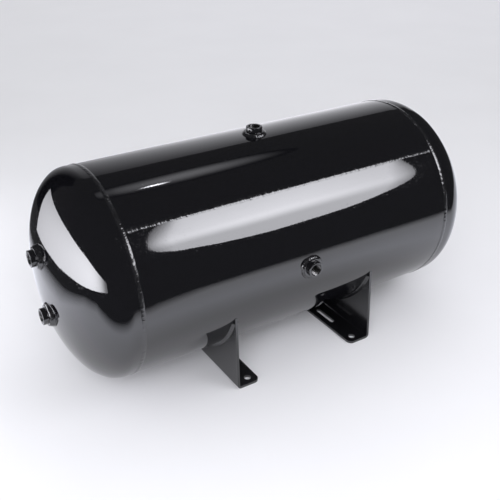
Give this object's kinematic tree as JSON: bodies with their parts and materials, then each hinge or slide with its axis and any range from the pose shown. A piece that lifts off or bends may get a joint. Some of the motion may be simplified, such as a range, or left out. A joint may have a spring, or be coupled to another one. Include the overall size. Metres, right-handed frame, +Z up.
{
  "type": "air receiver tank",
  "caption": "Horizontal welded steel air receiver tank with dished ends, threaded ports and two saddle brackets to bolt down.",
  "frame": {"origin": "on the floor under the feet, at the middle of the footprint of the whole object with its ports", "axes": "+X along the tank's axis, away from the head with the two ports; -Y is the front, where the side port and the long weld are; +Z is up"},
  "size_m": [0.8984, 0.412, 0.4327],
  "materials": {
    "tank_paint": "high gloss",
    "weld_paint": "gloss over rippled weld",
    "port_paint": "gloss",
    "bracket_paint": "gloss"
  },
  "bodies": {
    "root": {"shell": "tank_paint", "left_head": "tank_paint", "right_head": "tank_paint", "longitudinal_weld": "weld_paint", "left_seam_weld": "weld_paint", "right_seam_weld": "weld_paint", "top_port": "port_paint", "top_port_weld": "weld_paint", "front_port": "port_paint", "front_port_weld": "weld_paint", "head_upper_port": "port_paint", "head_upper_port_weld": "weld_paint", "head_lower_port": "port_paint", "head_lower_port_weld": "weld_paint", "drain_port": "port_paint", "drain_port_weld": "weld_paint", "left_bracket": "bracket_paint", "left_bracket_outer_weld": "weld_paint", "left_bracket_inner_weld": "weld_paint", "right_bracket": "bracket_paint", "right_bracket_outer_weld": "weld_paint", "right_bracket_inner_weld": "weld_paint"}
  },
  "joints": []
}
